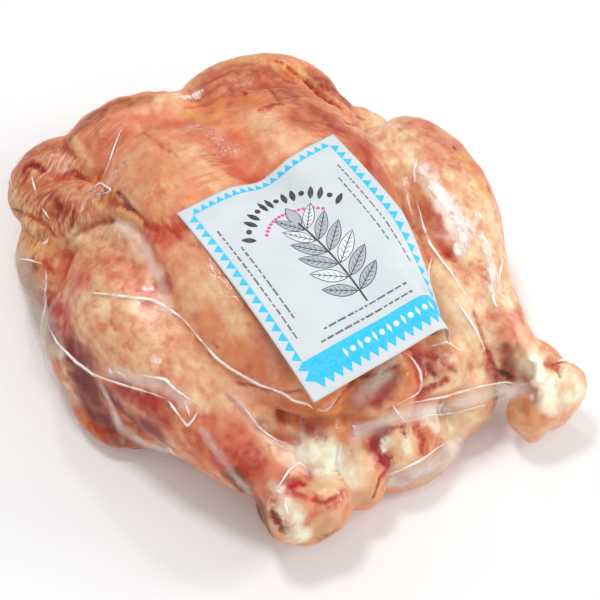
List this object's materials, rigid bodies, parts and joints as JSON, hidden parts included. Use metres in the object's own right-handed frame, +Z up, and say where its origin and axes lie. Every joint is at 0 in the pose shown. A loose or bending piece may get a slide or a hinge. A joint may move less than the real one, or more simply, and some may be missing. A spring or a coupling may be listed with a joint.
{
  "type": "vacuum-packed whole raw chicken",
  "caption": "Whole raw chicken on its back, shrunk tight in clear film, with a square paper label over the breast.",
  "frame": {"origin": "middle of the pack's bounding box in plan, on the surface it rests on", "axes": "+Z up, breast up; +Y towards the neck; the tail and the hocks point to -Y; +X is the bird's own left side"},
  "size_m": [0.216, 0.2342, 0.0874],
  "materials": {
    "film_and_skin": "raw skin under tight clear glossy film",
    "label_paper": "matt coated sticker paper"
  },
  "bodies": {
    "root": {"packed_chicken": "film_and_skin", "label": "label_paper"}
  },
  "joints": []
}
